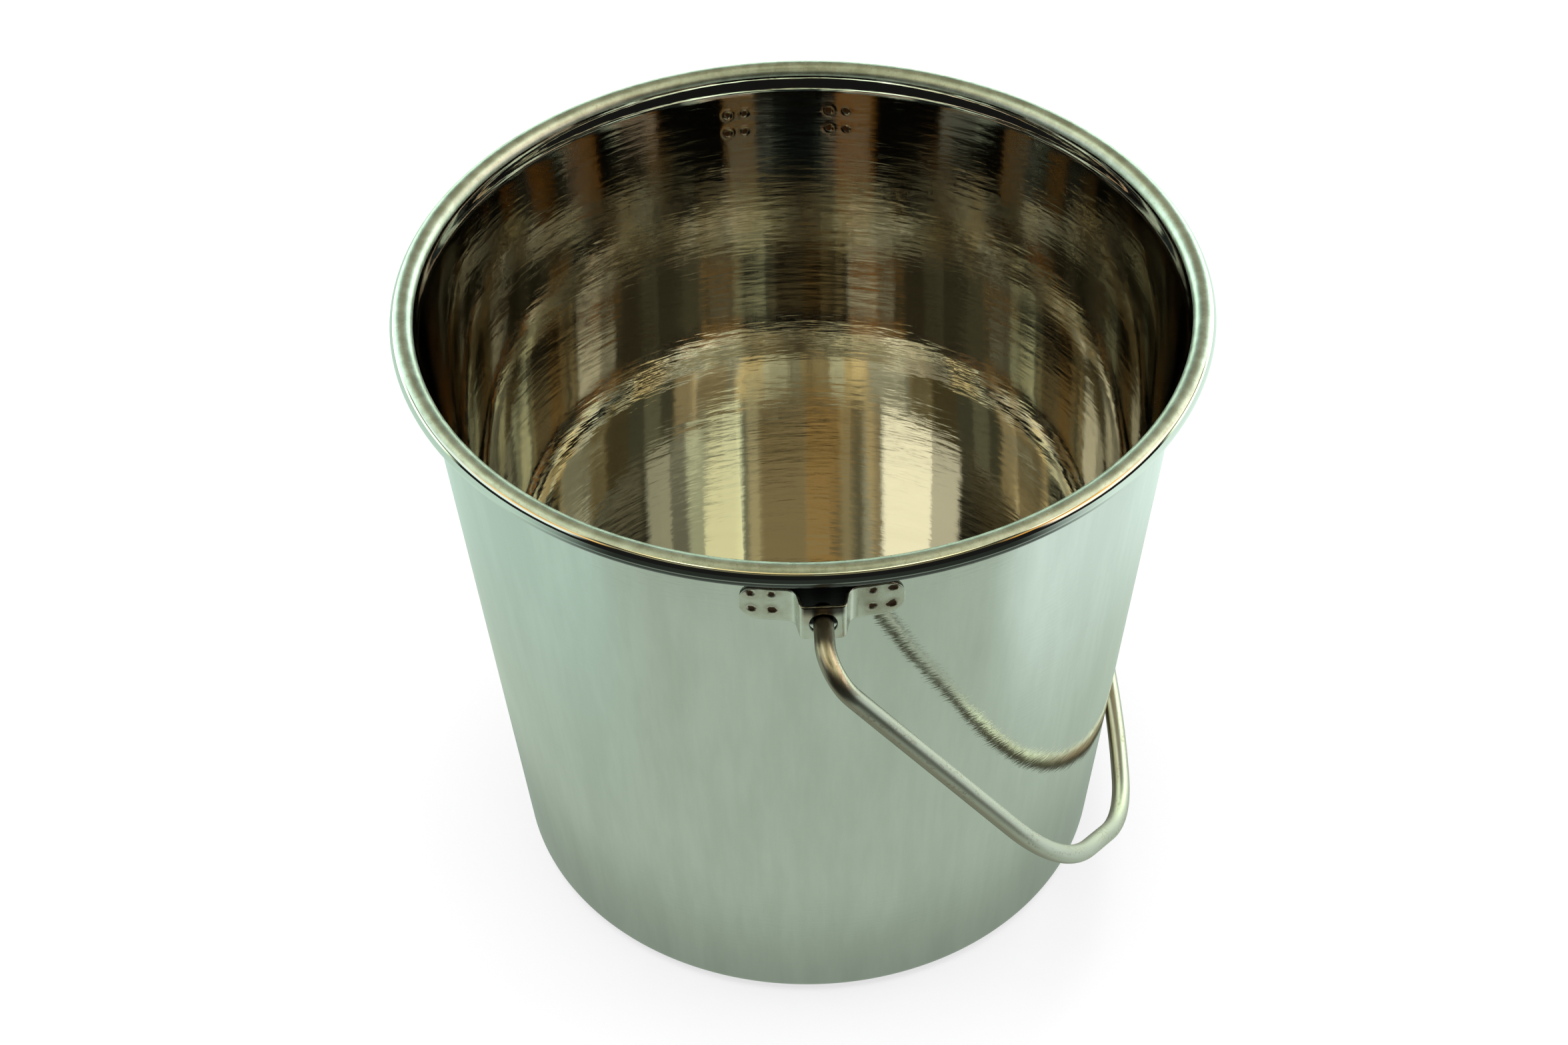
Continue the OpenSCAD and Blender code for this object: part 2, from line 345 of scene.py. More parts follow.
def inside_steel():
    """Polished inner wall and base, with lathe strokes and the heat marks of the welds."""
    m, n = material("polished_inside")
    c = n.place()
    strokes = lathe_noise(n, 8.0, 0.38, 2.0, 0.5)
    lines = lathe_noise(n, 9.0, 1.2, 2.0, 0.6)
    broad = lathe_noise(n, 1.2, 0.12, 3.0)
    grain = n.noise(c, 500.0, 2.0, 0.6)
    tone = n.mix(broad, rgb(0.60, 0.59, 0.56), rgb(0.66, 0.65, 0.62))
    ragged = weld_field(n, c)
    high = n.range(n.xyz(c)[2], 0.222, 0.226)
    near = n.times(n.range(ragged, 1.5, 0.9), high)
    halo = n.times(n.range(ragged, 4.2, 1.2), high, 0.45)
    tone = n.mix(halo, tone, rgb(0.34, 0.25, 0.16))
    tone = n.mix(near, tone, rgb(0.12, 0.06, 0.03))
    rough = n.math("ADD", n.times(broad, 0.035), 0.015)
    rough = n.mixf(near, rough, 0.5)
    nrm = n.bump(strokes, 0.00004, 1.0)
    nrm = n.bump(lines, 0.000006, 1.0, nrm)
    nrm = n.bump(grain, 0.00001, 0.3, nrm)
    finish_metal(n, tone, rough, nrm)
    return m


def rim_top_steel():
    """Ground band on top of the roll, mottled and dull."""
    m, n = material("ground_rim")
    c = n.place()
    blotch = n.noise(c, 160.0, 4.0, 0.65)
    speck = n.noise(c, 900.0, 2.0, 0.7)
    tone = n.mix(n.range(blotch, 0.35, 0.65), rgb(0.50, 0.58, 0.57), rgb(0.66, 0.76, 0.77))
    tone = n.mix(n.times(n.range(speck, 0.55, 0.75), 0.5), tone, rgb(0.42, 0.38, 0.31))
    rough = n.math("ADD", n.times(blotch, 0.2), 0.3)
    finish_metal(n, tone, rough, n.bump(speck, 0.00006, 0.35))
    return m


def rim_side_steel():
    """Polished side of the roll, with painted shade under it above the ears."""
    m, n = material("polished_rim")
    s = n.xyz(n.place())
    lines = lathe_noise(n, 3.0, 2.5, 3.0, 0.6)
    tone = n.mix(lines, rgb(0.70, 0.72, 0.67), rgb(0.78, 0.79, 0.74))
    rough = n.math("ADD", n.times(lines, 0.03), 0.03)
    # Painted shade on the underside of the roll, near the ears
    under_roll_shade = n.times(n.range(n.math("ABSOLUTE", s[0]), 0.115, 0.070), n.range(s[2], 0.2542, 0.2535))
    tone = n.mix(n.times(under_roll_shade, 0.96), tone, rgb(0.02, 0.02, 0.02))
    rough = n.mixf(under_roll_shade, rough, 0.3)
    finish_metal(n, tone, rough, n.bump(lines, 0.00001, 0.2))
    return m


def ear_steel():
    """Satin outer face of the ear, with burnt welds, a heat tint beside the hole and painted shade above it.
    """
    m, n = material("satin_ear")
    c = n.place()
    s = n.xyz(c)
    ax = n.math("ABSOLUTE", s[0])
    ragged = weld_field(n, c)
    blotch = n.noise(c, 140.0, 4.0, 0.6)
    grain = n.noise(n.vec("MULTIPLY", c, (1.0, 1.0, 7.0)), 700.0, 3.0, 0.6)
    tone = n.mix(n.range(blotch, 0.3, 0.7), rgb(0.62, 0.60, 0.52), rgb(0.74, 0.74, 0.66))
    wing = n.range(ax, 0.010, 0.012)
    near = n.times(n.range(ragged, 1.7, 1.0), wing)
    halo = n.times(n.range(ragged, 4.5, 1.4), wing, 0.4)
    warm = n.times(n.range(ax, 0.0085, 0.006), n.range(n.noise(c, 90.0, 2.0), 0.42, 0.62), 0.5)
    tone = n.mix(warm, tone, rgb(0.42, 0.28, 0.20))
    # Painted shade over the top of the raised face, with a ragged lower edge
    uneven = n.times(n.math("SUBTRACT", n.noise(c, 160.0, 3.0, 0.6), 0.5), 0.004)
    painted_shade = n.times(n.range(n.math("ADD", s[2], uneven), 0.2365, 0.2405), n.range(ax, 0.0078, 0.0062))
    tone = n.mix(n.times(painted_shade, 0.93), tone, rgb(0.05, 0.04, 0.035))
    tone = n.mix(halo, tone, rgb(0.36, 0.28, 0.20))
    tone = n.mix(near, tone, rgb(0.09, 0.045, 0.025))
    rough = n.math("ADD", n.times(blotch, 0.14), 0.2)
    rough = n.mixf(near, rough, 0.55)
    finish_metal(n, tone, rough, n.bump(grain, 0.00003, 0.3))
    return m


def ear_back_steel():
    """The side of the strip that faces the wall, never polished and sooty, and darkened to near black as
    painted shade for the gap against the wall.
    """
    m, n = material("sooty_and_shaded_back")
    s = n.noise(n.place(), 300.0, 3.0, 0.6)
    # Near black as painted shade for the gap between strip and wall, with sooty mottling
    tone = n.mix(s, rgb(0.012, 0.011, 0.010), rgb(0.035, 0.032, 0.028))
    finish_metal(n, tone, n.math("ADD", n.times(s, 0.2), 0.45), n.bump(s, 0.00004, 0.4))
    return m


def ear_edge_steel():
    """Sheared edges of the strip, patchy with dirt."""
    m, n = material("sheared_edge")
    s = n.noise(n.place(), 350.0, 3.0, 0.6)
    tone = n.mix(n.range(s, 0.4, 0.65), rgb(0.50, 0.53, 0.50), rgb(0.24, 0.21, 0.16))
    finish_metal(n, tone, n.math("ADD", n.times(s, 0.25), 0.35), n.bump(s, 0.00005, 0.4))
    return m


def rod_steel():
    """Drawn rod, with painted shade on the side towards the pail and at its ends.

    The bail carries "rod" = (cos, sin, mm from the nearer end), and sin is 1 on the side away from the pail.
    """
    m, n = material("drawn_rod")
    v = n.attribute("rod")
    s = n.xyz(v)
    draw = n.noise(n.vec("MULTIPLY", v, (5.0, 5.0, 0.06)), 1.0, 3.0, 0.6)
    pits = n.noise(n.vec("MULTIPLY", v, (3.0, 3.0, 0.7)), 1.0, 3.0, 0.7)
    patches = n.noise(n.vec("MULTIPLY", v, (1.2, 1.2, 0.05)), 1.0, 2.0)
    tone = n.mix(draw, rgb(0.50, 0.48, 0.42), rgb(0.62, 0.60, 0.54))
    scuff = n.times(n.range(pits, 0.5, 0.62), n.range(patches, 0.45, 0.6))
    tone = n.mix(n.times(scuff, 0.55), tone, rgb(0.40, 0.35, 0.27))
    # Painted shade on the side of the rod that faces the pail
    pail_side_shade = n.times(n.range(s[1], 0.35, -0.3), 0.88)
    tone = n.mix(pail_side_shade, tone, rgb(0.27, 0.22, 0.16))
    # Painted shade at the rod's ends, which sit in the dark gap behind the ears
    end_shade = n.range(s[2], 9.0, 6.5)
    tone = n.mix(end_shade, tone, rgb(0.015, 0.014, 0.013))
    rough = n.math("ADD", n.times(draw, 0.10), 0.30)
    rough = n.math("ADD", rough, n.times(scuff, 0.12))
    rough = n.mixf(end_shade, rough, 0.5)
    nrm = n.bump(draw, 0.00002, 0.3)
    nrm = n.bump(pits, 0.00002, 0.15, nrm)
    finish_metal(n, tone, rough, nrm)
    return m


# ---------------------------------------------------------------------------------------------
# Pail body: one lathe of the whole sheet, finer near the ears, with the welds' dents on the inside
# ---------------------------------------------------------------------------------------------
INSIDE, RIM_TOP, RIM_SIDE, OUTSIDE = range(4)


def body_profile():
    """The closed section of the sheet as (radius, height, material of the band that ends here)."""
    rows = [(0.0, SHEET, INSIDE)]

    def add(pts, mat):
        rows.extend((x, z, mat) for x, z in pts)

    def roll(r, a0, a1, n, first=False):
        return arc_points(ROLL_X, ROLL_Z, r, a0, a1, n, first)

    lean = math.degrees(TILT)
    # Inside: base, corner, wall and lip
    cz = SHEET + INSIDE_CORNER_R
    cx = inner_r(cz) - INSIDE_CORNER_R / math.cos(TILT)
    add(line_points((0.0, SHEET), (cx, SHEET), 12), INSIDE)
    add(arc_points(cx, cz, INSIDE_CORNER_R, -90, -lean, 16, first=False), INSIDE)
    z = rows[-1][1]
    for top_z, n in ((WELDS_LOW_Z, 34), (WELDS_HIGH_Z, 30), (LIP_Z, 2)):
        add(line_points((inner_r(z), z), (inner_r(top_z), top_z), n), INSIDE)
        z = top_z
    a = math.radians(ROLL_START)
    top = (ROLL_X + ROLL_R * math.cos(a), ROLL_Z + ROLL_R * math.sin(a))
    pulls = (inner_r(LIP_Z + 2), LIP_Z + 2), (top[0] - 0.25, top[1] - 2.0)
    add(bezier((inner_r(LIP_Z), LIP_Z), *pulls, top, 10), INSIDE)
    # Over the roll and back inside it
    add(roll(ROLL_R, ROLL_START, GROUND_END, 22), RIM_TOP)
    add(roll(ROLL_R, GROUND_END, ROLL_END, 34), RIM_SIDE)
    add(roll(ROLL_R - SHEET, ROLL_END, 180, 28, first=True), RIM_SIDE)
    # Outside: neck, wall, corner and base
    neck = (wall_r(NECK_Z), NECK_Z)
    add([neck], OUTSIDE)
    cx = wall_r(CORNER_R) - CORNER_R / math.cos(TILT)
    low = (cx + CORNER_R * math.cos(TILT), CORNER_R - CORNER_R * math.sin(TILT))
    add(line_points(neck, low, 50), OUTSIDE)
    add(arc_points(cx, CORNER_R, CORNER_R, -lean, -90, 12, first=False), OUTSIDE)
    add(line_points((cx, 0.0), (0.0, 0.0), 8), OUTSIDE)
    return rows


def azimuths():
    """Angles round the pail, closer together behind the two ears, which lie at -90 and +90 degrees."""
    fine, coarse, half = 78, 78, 11.6
    out = []
    for mid in (-90.0, 90.0):
        out += [mid - half + 2 * half * i / fine for i in range(fine)]
        out += [mid + half + (180 - 2 * half) * i / coarse for i in range(coarse)]
    return [math.radians(a) for a in out]


def weld_distance(u, v):
    """Distance in mm from the nearest spot weld, from u along the strip and v up from the ear's middle."""
    du = abs(abs(u) - WELD_X) - WELD_DX / 2
    dz = abs(v - WELD_RISE) - WELD_DZ / 2
    return math.hypot(du, dz)


def dent(d, depth, lip, reach):
    """A weld's dent and the raised lip round it, d mm from its middle.

    reach is the two distances between which the dent fades, and where the lip starts, peaks and ends.
    """
    pressed = depth * (1 - smooth(reach[0], reach[1], d))
    return pressed - lip * smooth(reach[2], reach[3], d) * (1 - smooth(reach[3], reach[4], d))


def weld_dent(az, z, r):
    """How far the inner face is pressed outward at a point, in mm."""
    if not WELDS_LOW_Z < z < WELDS_HIGH_Z:
        return 0.0
    u = abs(((az / math.pi * 180 + 90) % 180 + 90) % 180 - 90) / 180 * math.pi * r
    return dent(weld_distance(u, z - EAR_Z), 0.14, 0.04, (0.7, 1.7, 1.2, 1.8, 3.0))


def build_body(mats):
    rows, turns = body_profile(), azimuths()
    n = len(turns)
    verts, coords, faces, kinds, start = [], [], [], [], []
    path = 0.0
    for i, (r, z, kind) in enumerate(rows):
        if i:
            path += math.hypot(r - rows[i - 1][0], z - rows[i - 1][1])
        start.append(len(verts))
        if r < TINY:
            verts.append((0, 0, z))
            coords.append((0, 0, path))
            continue
        for a in turns:
            bent_r = r
            if kind == INSIDE:
                bent_r += weld_dent(a, z, r)
            for size, count, phase, twist in WALL_WAVES:
                wave = size * math.sin(count * a + phase + z * twist)
                bent_r += wave * smooth(*WAVES_START, z) * (1 - smooth(*WAVES_END, z))
            verts.append((bent_r * math.cos(a), bent_r * math.sin(a), z))
            coords.append((math.cos(a), math.sin(a), path))
    for i in range(1, len(rows)):
        a, b, kind = start[i - 1], start[i], rows[i][2]
        for j in range(n):
            k = (j + 1) % n
            if rows[i - 1][0] < TINY:
                faces.append((a, b + j, b + k))
            elif rows[i][0] < TINY:
                faces.append((a + j, b, a + k))
            else:
                faces.append((a + j, b + j, b + k, a + k))
            kinds.append(kind)
    return mesh_object("pail_shell", verts, faces, mats, kinds, coords={"lathe": coords})


# ---------------------------------------------------------------------------------------------
# Bail: one swept rod
# ---------------------------------------------------------------------------------------------
def bail_path():
    """Centreline in the bail's plane, from -Y to +Y: p in the hanging direction, q along the pivot axis."""
    pts = [(0.0, -ROD_END_Y)]
    heading = -90.0

    def run(length, n):
        p, q = pts[-1]
        a = math.radians(heading)
        for i in range(1, n + 1):
            pts.append((p + math.cos(a) * length * i / n, q + math.sin(a) * length * i / n))

    def turn(r, angle, n):
        """Bends the heading by an angle in degrees, towards +q, and returns the new one."""
        a0 = math.radians(heading)
        cx, cy = pts[-1][0] - r * math.sin(a0), pts[-1][1] + r * math.cos(a0)
        for i in range(1, n + 1):
            a = a0 + math.radians(angle) * i / n
            pts.append((cx + r * math.sin(a), cy - r * math.cos(a)))
        return heading + angle

    run(LEG_Y - EAR_BEND_R - ROD_END_Y, 12)
    heading = turn(EAR_BEND_R, 90, 28)
    heading = turn(LEAN_BEND_R, LEG_LEAN, 6)
    run(LEG_RUN, 30)
    heading = turn(SHOULDER_R, SHOULDER_DIR - LEG_LEAN, 30)
    run(SHOULDER_RUN, 8)
    heading = turn(CROWN_R, CROWN_DIR - SHOULDER_DIR, 22)
    middle_r = -pts[-1][1] / math.cos(math.radians(CROWN_DIR))
    turn(middle_r, 90 - CROWN_DIR, 16)
    return pts + [(p, -q) for p, q in reversed(pts[:-1])]


def build_bail(mat):
    hang = math.radians(HANG)
    down = (math.cos(hang), -math.sin(hang))
    normal = Vector((math.sin(hang), 0, math.cos(hang)))
    centre = [Vector((p * down[0], q, PIVOT_Z + p * down[1])) for p, q in bail_path()]
    count = len(centre)
    verts, coords, faces, ring_starts = [], [], [], []

    def ring(c, side, scale, path):
        ring_starts.append(len(verts))
        for j in range(ROD_SIDES):
            a = 2 * math.pi * j / ROD_SIDES
            d = side * math.cos(a) + normal * math.sin(a)
            verts.append(tuple(c + d * ROD_R * scale))
            coords.append((math.cos(a), math.sin(a), path))

    path = 0.0
    for i, c in enumerate(centre):
        t = (centre[min(i + 1, count - 1)] - centre[max(i - 1, 0)]).normalized()
        side = t.cross(normal).normalized()
        if i:
            path += (c - centre[i - 1]).length
        if 0 < i < count - 1:
            ring(c, side, 1.0, path)
            continue
        # Each end face has a ring-shaped groove just inside its edge
        inward, order = (t, (0, 1, 2)) if i == 0 else (-t, (2, 1, 0))
        for k in order:
            part = 1 - math.sin(math.radians(30 * k))
            ring(c + inward * GROOVE_DEPTH * part, side, 1 - GROOVE_INSET * part, path)
    coords = [(x, y, min(along, path - along)) for x, y, along in coords]
    for a, b in zip(ring_starts, ring_starts[1:]):
        for j in range(ROD_SIDES):
            k = (j + 1) % ROD_SIDES
            faces.append((a + j, b + j, b + k, a + k))
    for base, back in ((ring_starts[0], False), (ring_starts[-1], True)):
        tip = len(verts)
        verts.append(tuple(centre[-1 if back else 0]))
        coords.append((0, 0, 0))
        for j in range(ROD_SIDES):
            k = (j + 1) % ROD_SIDES
            faces.append((base + j, base + k, tip) if back else (base + k, base + j, tip))
    return mesh_object("bail_rod", verts, faces, [mat], coords={"rod": coords})


# ---------------------------------------------------------------------------------------------
# Ears: one bent strip each, with the hole for the bail, softened edges and the welds' dents
# ---------------------------------------------------------------------------------------------
EAR_R = wall_r(EAR_Z)
OUTER, INNER = 1, -1
FACE, EDGE, BACK = range(3)


def sag(x):
    """How far the wall's outer face falls away beside the ear's middle, in mm."""
    return EAR_R - math.sqrt(EAR_R * EAR_R - x * x)


def ear_curve():
    """Right half of the strip's middle line, from the centre to the tip.

    Each point is (x, w, angle): along the strip, out from the wall, and the normal's angle in degrees.
    """
    half = EAR_T / 2
    lean = math.degrees(SIDE_LEAN)
    cos_lean, sin_lean = math.cos(SIDE_LEAN), math.sin(SIDE_LEAN)
    # Middles of the bend beside the face and of the bend at the foot
    top = (FACE_FLAT / 2, EAR_DEPTH - BEND_R - EAR_T)
    foot_w = FOOT_R + EAR_T - sag(FACE_FLAT / 2 + BEND_R + EAR_T + FOOT_R)
    step = BEND_R + EAR_T + FOOT_R
    fall = top[1] - foot_w + step * sin_lean
    foot = (top[0] + step * cos_lean + fall * math.tan(SIDE_LEAN), foot_w)

    def bend(middle, r, a0, a1, n):
        angles = [a0 + (a1 - a0) * i / n for i in range(1, n + 1)]
        turns = [(a, math.radians(a)) for a in angles]
        return [(middle[0] + r * math.cos(t), middle[1] + r * math.sin(t), a) for a, t in turns]

    pts = [(top[0] * i / 12, EAR_DEPTH - half, 90.0) for i in range(13)]
    pts += bend(top, BEND_R + half, 90, lean, 10)
    start = (foot[0] - (FOOT_R + half) * cos_lean, foot[1] - (FOOT_R + half) * sin_lean)
    pts += [(x, w, lean) for x, w in line_points(pts[-1], start, 6)]
    pts += bend(foot, -(FOOT_R + half), lean, 90 - math.degrees(math.asin(foot[0] / EAR_R)), 14)
    # The wing lies on the round wall
    x0 = pts[-1][0]
    drop = pts[-1][1] - (half - sag(x0))
    for i in range(1, WING_STEPS + 1):
        x = x0 + (EAR_L / 2 - x0) * i / WING_STEPS
        w = half - sag(x) + drop * (1 - smooth(0, 4, x - x0))
        pts.append((x, w, 90 - math.degrees(math.asin(x / EAR_R))))
    return pts


def ear_half_height(x):
    """Half height of the strip at a distance along x: the wing's corners are round."""
    over = abs(x) - (EAR_L / 2 - WING_CORNER_R)
    if over <= 0:
        return EAR_H / 2
    return EAR_H / 2 - WING_CORNER_R + math.sqrt(max(0.0, WING_CORNER_R**2 - over * over))


def ear_weld_dent(x, v):
    """How far the outer face stands out (or in, if negative) at a point, in mm."""
    return dent(weld_distance(EAR_R * math.asin(x / EAR_R), v), -0.16, -0.05, (0.8, 1.6, 1.1, 1.7, 2.6))


def ear_point(x, w, v):
    """A point in mm, from its place along, out from and up the sloping wall at the front ear."""
    y = -(EAR_R + v * math.sin(TILT) + w * math.cos(TILT))
    return (x, y, EAR_Z + v * math.cos(TILT) - w * math.sin(TILT))


def rounded(edge):
    """How far a face sinks at a distance from its edge, in mm, so that the edge is soft."""
    return EDGE_SOFT - math.sqrt(max(0.0, EDGE_SOFT**2 - max(0.0, EDGE_SOFT - edge) ** 2))


def build_ear(name, mats):
    right = ear_curve()
    curve = [(-x, w, 180 - a) for x, w, a in reversed(right[1:])] + right
    # Rows up the strip, as fractions of its half height
    rows = [-1 + 2 * i / EAR_ROWS for i in range(EAR_ROWS + 1)]
    last, top = len(curve) - 1, EAR_ROWS
    verts, index, faces, kinds = [], {}, [], []

    def vert(key, p):
        if key not in index:
            index[key] = len(verts)
            verts.append(p)
        return index[key]

    def add(face, kind):
        if len(set(face)) > 2:
            faces.append(tuple(face))
            kinds.append(kind)

    def add_side(face, side):
        add(face if side == INNER else face[::-1], BACK if side == INNER else FACE)

    def at(i, f, side):
        """Point at curve step i and height fraction f, on one side of the strip."""
        x, w, a = curve[i]
        h = ear_half_height(x)
        v = f * h
        edge = min(h - abs(v), EAR_L / 2 - abs(x))
        off = side * (EAR_T / 2 - rounded(edge))
        if side == OUTER and abs(x) > RAISED_HALF:
            off += ear_weld_dent(x, v)
        c, s = math.cos(math.radians(a)), math.sin(math.radians(a))
        return ear_point(x + off * c, w + off * s, v)

    # Both sides of the strip, but for a patch round the hole
    flat = [i for i, (x, _, a) in enumerate(curve) if abs(x) <= FACE_FLAT / 2 + TINY and a == 90.0]
    lo, hi = flat[0], flat[-1]
    band = [j for j, f in enumerate(rows) if abs(f * EAR_H / 2) <= PATCH_HALF]
    jlo, jhi = band[0], band[-1]
    for side in (OUTER, INNER):
        for i in range(last):
            for j in range(top):
                if lo <= i < hi and jlo <= j < jhi:
                    continue
                corners = ((i, j), (i + 1, j), (i + 1, j + 1), (i, j + 1))
                add_side([vert((side, p, r), at(p, rows[r], side)) for p, r in corners], side)
    # Rings of faces from the border of that patch to the hole, closer together towards the hole
    border = [(i, jlo) for i in range(lo, hi)] + [(hi, j) for j in range(jlo, jhi)]
    border += [(i, jhi) for i in range(hi, lo, -1)] + [(lo, j) for j in range(jhi, jlo, -1)]
    m = len(border)
    hole_v = (PIVOT_Z - EAR_Z) / math.cos(TILT) + EAR_DEPTH * math.tan(TILT)
    hole_edge = {}
    for side in (OUTER, INNER):
        grid = []
        for i, j in border:
            x, v = curve[i][0], rows[j] * EAR_H / 2
            a = math.atan2(v - hole_v, x)
            hx, hv = HOLE_D / 2 * math.cos(a), hole_v + HOLE_D / 2 * math.sin(a)
            line = [index[(side, i, j)]]
            for k in range(1, HOLE_RINGS + 1):
                t = 1 - (1 - k / HOLE_RINGS) ** 1.6
                px, pv = x + (hx - x) * t, v + (hv - v) * t
                sunk = rounded(math.hypot(px - hx, pv - hv))
                w = EAR_DEPTH - EAR_T / 2 + side * (EAR_T / 2 - sunk)
                line.append(vert((side, "hole", i, j, k), ear_point(px, w, pv)))
            grid.append(line)
        for b in range(m):
            here, there = grid[b], grid[(b + 1) % m]
            for k in range(HOLE_RINGS):
                add_side([here[k], there[k], there[k + 1], here[k + 1]], side)
        hole_edge[side] = [line[-1] for line in grid]
    outer, inner = hole_edge[OUTER], hole_edge[INNER]
    for b in range(m):
        add([outer[b], outer[(b + 1) % m], inner[(b + 1) % m], inner[b]][::-1], EDGE)
    # Edges all round the strip
    rim = [(i, 0) for i in range(last + 1)] + [(last, j) for j in range(1, top + 1)]
    rim += [(i, top) for i in range(last - 1, -1, -1)] + [(0, j) for j in range(top - 1, 0, -1)]
    for b, p in enumerate(rim):
        q = rim[(b + 1) % len(rim)]
        add([index[(OUTER, *p)], index[(OUTER, *q)], index[(INNER, *q)], index[(INNER, *p)]], EDGE)
    return mesh_object(name, verts, faces, mats, kinds)


# ---------------------------------------------------------------------------------------------
# Put the object together
# ---------------------------------------------------------------------------------------------
shell = build_body([inside_steel(), rim_top_steel(), rim_side_steel(), outside_steel()])
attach(shell, "pail")
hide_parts("pail_body")

ear_mats = [ear_steel(), ear_edge_steel(), ear_back_steel()]
for name, node, welds, turn in (
    ("ear_front", "front_ear", "front_spot_welds", 0),
    ("ear_rear", "rear_ear", "rear_spot_welds", 180),
):
    ear = build_ear(name, ear_mats)
    if turn:
        ear.data.transform(Matrix.Rotation(math.radians(turn), 4, "Z"))
    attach(ear, "pail")
    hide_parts(node, welds)

bail = build_bail(rod_steel())
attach(bail, "bail")
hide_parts("bail")


# ---------------------------------------------------------------------------------------------
# Studio: pale floor and backdrop, soft boxes as large cards that only reflections see
# ---------------------------------------------------------------------------------------------
def plain(name, albedo, emit):
    """Flat white: part lit by the lamps, part bright by itself, so that its shadows stay faint.

    emit is a strength, or a function that makes one from the place.
    """
    m, n = material(name)
    b = n.new("ShaderNodeBsdfPrincipled")
    b.inputs["Base Color"].default_value = rgb(albedo, albedo, albedo)
    b.inputs["Roughness"].default_value = 1.0
    b.inputs["Specular IOR Level"].default_value = 0.0
    b.inputs["Emission Color"].default_value = rgb(1, 1, 1)
    n.put(b.inputs["Emission Strength"], emit(n) if callable(emit) else emit)
    n.surface(b)
    return m


def visible(o, camera=False, diffuse=False, glossy=False, shadow=False):
    """Sets which rays meet a part of the studio."""
    o.visible_camera = camera
    o.visible_diffuse = diffuse
    o.visible_glossy = glossy
    o.visible_shadow = shadow
    o.visible_transmission = False
    o.visible_volume_scatter = False


def polar(n):
    """Azimuth (0 = +Y, 90 = +X), elevation and distance from the middle, in degrees and mm."""
    s, r = in_mm(n, n.place())
    az = n.times(n.math("ARCTAN2", s[0], s[1]), 180 / math.pi)
    el = n.times(n.math("ARCTAN2", s[2], r), 180 / math.pi)
    return az, el, r


def sector(n, az, mid, half, soft):
    """1 inside an azimuth sector, falling to 0 across its soft edges."""
    away = n.math("ABSOLUTE", n.math("WRAP", n.math("SUBTRACT", az, mid), 180.0, -180.0))
    return n.range(away, half - soft, half + soft, 1.0, 0.0)


def band(n, v, lo, hi, soft):
    """1 between two values, with soft edges."""
    return n.times(n.range(v, lo - soft, lo + soft), n.range(v, hi - soft, hi + soft, 1.0, 0.0))


def add_up(n, parts, base):
    """Sum of mask times colour over (mask, colour) pairs."""
    total = base
    for mask, colour in parts:
        total = n.vec("ADD", total, n.vec("SCALE", colour, mask))
    return total


def glow(name, colour_of):
    """Pure light of the colour that a function makes from the place."""
    m, n = material(name)
    e = n.new("ShaderNodeEmission")
    n.put(e.inputs["Color"], colour_of(n))
    e.inputs["Strength"].default_value = 1.0
    n.surface(e)
    return m


# Light where nothing shines
ROOM_DARK = (0.012, 0.012, 0.011)

# Soft boxes and walls of the studio: middle, half width and softness of the azimuth, low end, high end
# and softness of the elevation, all in degrees, and the colour
CARDS = [
    ("horizon_back", 0, 80, 6, -20, 11, 3, (2.6, 3.2, 2.2)),
    ("back_wall", 0, 45, 4, 17, 32, 2, (0.10, 0.16, 0.18)),
    ("left_glint", -42, 15, 5, 8, 30, 2, (1.5, 1.9, 1.5)),
    ("right_glint", 42, 15, 5, 8, 30, 2, (1.7, 2.1, 1.7)),
    ("left_wall", -82, 37, 4, 17, 32, 2, (1.05, 1.2, 1.1)),
    ("right_wall", 82, 37, 4, 17, 32, 2, (1.8, 1.5, 1.2)),
    ("left_lower", -98, 26, 4, 32, 39, 1.5, (1.2, 0.7, 0.2)),
    ("right_lower", 94, 34, 4, 32, 39, 1.5, (1.25, 0.6, 0.1)),
    ("back_strip", 0, 38, 3, 41.5, 49, 1.2, (0.66, 0.52, 0.24)),
    ("back_strip_left", -38, 9, 3, 40, 49, 1.2, (0.3, 0.32, 0.2)),
    ("back_strip_right", 40, 12, 3, 40, 49, 1.2, (0.45, 0.42, 0.24)),
    ("left_box", -78, 36, 3, 41, 57, 1.5, (0.75, 0.75, 0.5)),
    ("left_core", -62, 20, 2.5, 41, 49, 1.2, (1.1, 1.2, 0.75)),
    ("right_box", 80, 36, 3, 41, 57, 1.5, (0.85, 0.85, 0.6)),
    ("right_core", 87, 29, 2.5, 41, 49, 1.2, (2.0, 1.9, 1.4)),
    ("front_strip", 180, 66, 6, 51.5, 58, 1.2, (1.9, 1.9, 1.2)),
    ("front_mid", 180, 64, 6, 38, 44, 2, (0.3, 0.28, 0.16)),
    ("back_high", 0, 44, 4, 50, 57, 1.5, (0.4, 0.4, 0.24)),
    ("left_high", -92, 28, 4, 53, 61, 1.5, (1.1, 1.1, 0.8)),
    ("right_high", 92, 28, 4, 53, 61, 1.5, (1.2, 1.2, 0.85)),
    ("left_shoulder", -82, 37, 6, 57, 70, 2, (0.55, 0.6, 0.42)),
    ("right_shoulder", 82, 37, 6, 57, 70, 2, (0.65, 0.58, 0.4)),
    ("left_crown", -90, 55, 12, 70, 95, 3, (0.65, 0.6, 0.32)),
    ("right_crown", 90, 55, 12, 70, 95, 3, (1.1, 1.05, 0.6)),
    ("back_crown", 0, 35, 12, 58, 95, 3, (0.24, 0.2, 0.1)),
]


